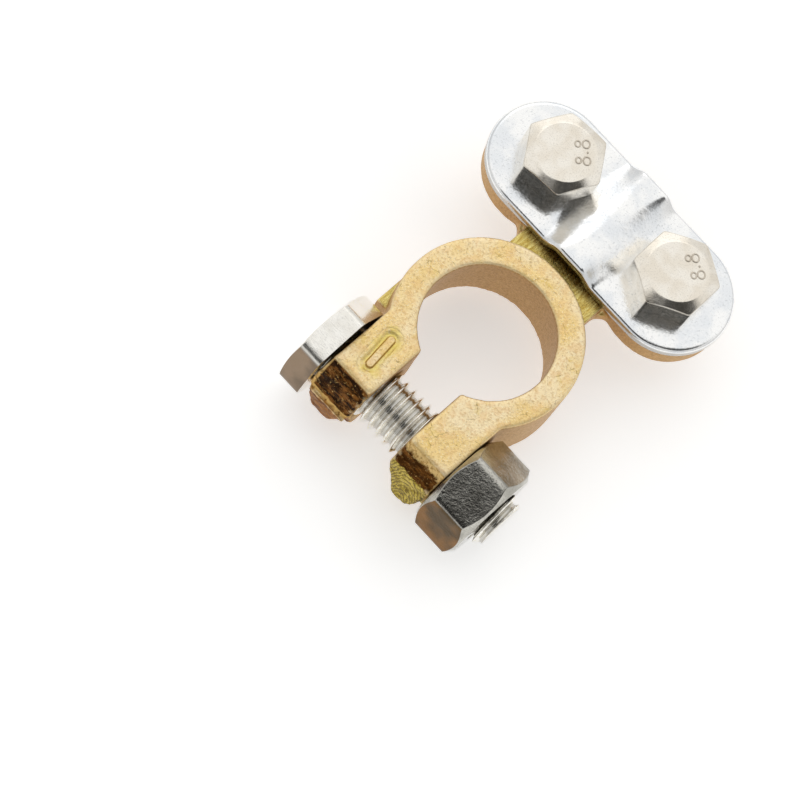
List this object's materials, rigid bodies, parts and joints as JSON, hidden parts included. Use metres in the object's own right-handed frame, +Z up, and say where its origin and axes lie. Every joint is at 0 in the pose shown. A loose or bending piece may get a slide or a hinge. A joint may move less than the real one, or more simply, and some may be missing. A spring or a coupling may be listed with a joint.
{
  "type": "battery terminal clamp",
  "caption": "Brass battery terminal clamp with a tapered split ring, pinch bolt and bolted cable saddle plate.",
  "frame": {"origin": "on the axis of the post bore, in the clamp's underside", "axes": "+Z up the battery post, +Y from the post to the cable saddle, +X along the pinch bolt from its head to its nut"},
  "size_m": [0.039, 0.0519, 0.0164],
  "materials": {
    "brass_casting": "satin, as cast and tumbled",
    "zinc_plate": "bright zinc plated",
    "zinc_bolt": "zinc plated, slightly warm"
  },
  "bodies": {
    "terminal": {"terminal_body": "brass_casting"},
    "plate": {"cable_plate": "zinc_plate"},
    "bolt_a": {"plate_bolt_a": "zinc_bolt"},
    "bolt_b": {"plate_bolt_b": "zinc_bolt"},
    "clamp_bolt": {"pinch_bolt": "zinc_bolt"},
    "clamp_nut": {"pinch_nut": "zinc_bolt"}
  },
  "joints": [
    {"name": "pinch_bolt_turn", "type": "hinge", "parent": "terminal", "child": "clamp_bolt", "pos_m": [0, -0.0143, 0.0052], "axis": [-1, 0, 0], "range_deg": [0, 2160]},
    {"name": "pinch_nut_travel", "type": "slide", "parent": "terminal", "child": "clamp_nut", "axis": [1, 0, 0], "range_m": [0, 0.00751]},
    {"name": "cable_plate_lift", "type": "slide", "parent": "terminal", "child": "plate", "axis": [0, 0, 1], "range_m": [0, 0.008]},
    {"name": "plate_bolt_a_turn", "type": "hinge", "parent": "plate", "child": "bolt_a", "pos_m": [-0.01025, 0.02264, 0.0101], "axis": [0, 0, 1], "range_deg": [0, 2881]},
    {"name": "plate_bolt_b_turn", "type": "hinge", "parent": "plate", "child": "bolt_b", "pos_m": [0.01025, 0.02264, 0.0101], "axis": [0, 0, 1], "range_deg": [0, 2881]}
  ],
  "couplings": [
    {"joint": "pinch_nut_travel", "follows": "pinch_bolt_turn", "m_per_rad": 0.00019894},
    {"joint": "plate_bolt_a_turn", "follows": "cable_plate_lift", "rad_per_m": 6283.2},
    {"joint": "plate_bolt_b_turn", "follows": "cable_plate_lift", "rad_per_m": 6283.2}
  ]
}
